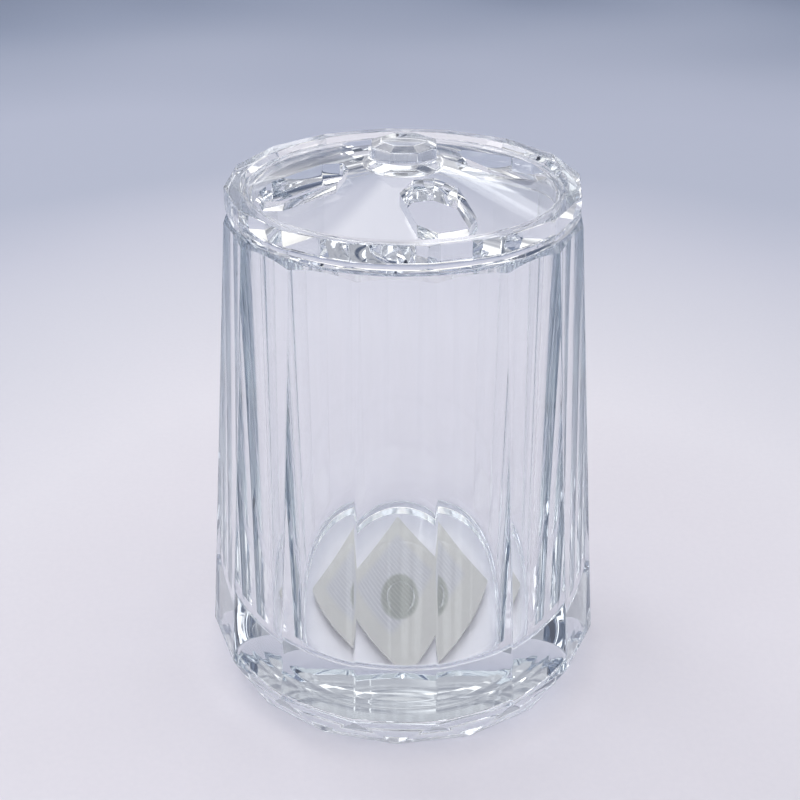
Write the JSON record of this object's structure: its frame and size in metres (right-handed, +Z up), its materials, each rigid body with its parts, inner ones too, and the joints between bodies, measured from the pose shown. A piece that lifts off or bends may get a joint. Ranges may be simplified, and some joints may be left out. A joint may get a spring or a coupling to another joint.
{
  "type": "toothbrush holder",
  "caption": "Clear faceted acrylic toothbrush holder: a tumbler with a slotted, lift-off lid and a faceted knob.",
  "frame": {"origin": "middle of the foot, on the surface that the holder stands on", "axes": "+Z up, -Y to the front, +X to the front's right"},
  "size_m": [0.0848, 0.0848, 0.1162],
  "materials": {
    "tumbler_acrylic": "clear, polished",
    "lid_acrylic": "clear, polished",
    "knob_acrylic": "clear, polished",
    "sticker_paper": "matt, off-white"
  },
  "bodies": {
    "tumbler": {"tumbler": "tumbler_acrylic", "base_sticker": "sticker_paper"},
    "lid": {"lid": "lid_acrylic", "knob": "knob_acrylic"}
  },
  "joints": [
    {"name": "lid_lift", "type": "slide", "parent": "tumbler", "child": "lid", "axis": [0, 0, 1], "range_m": [0, 0.04]}
  ]
}
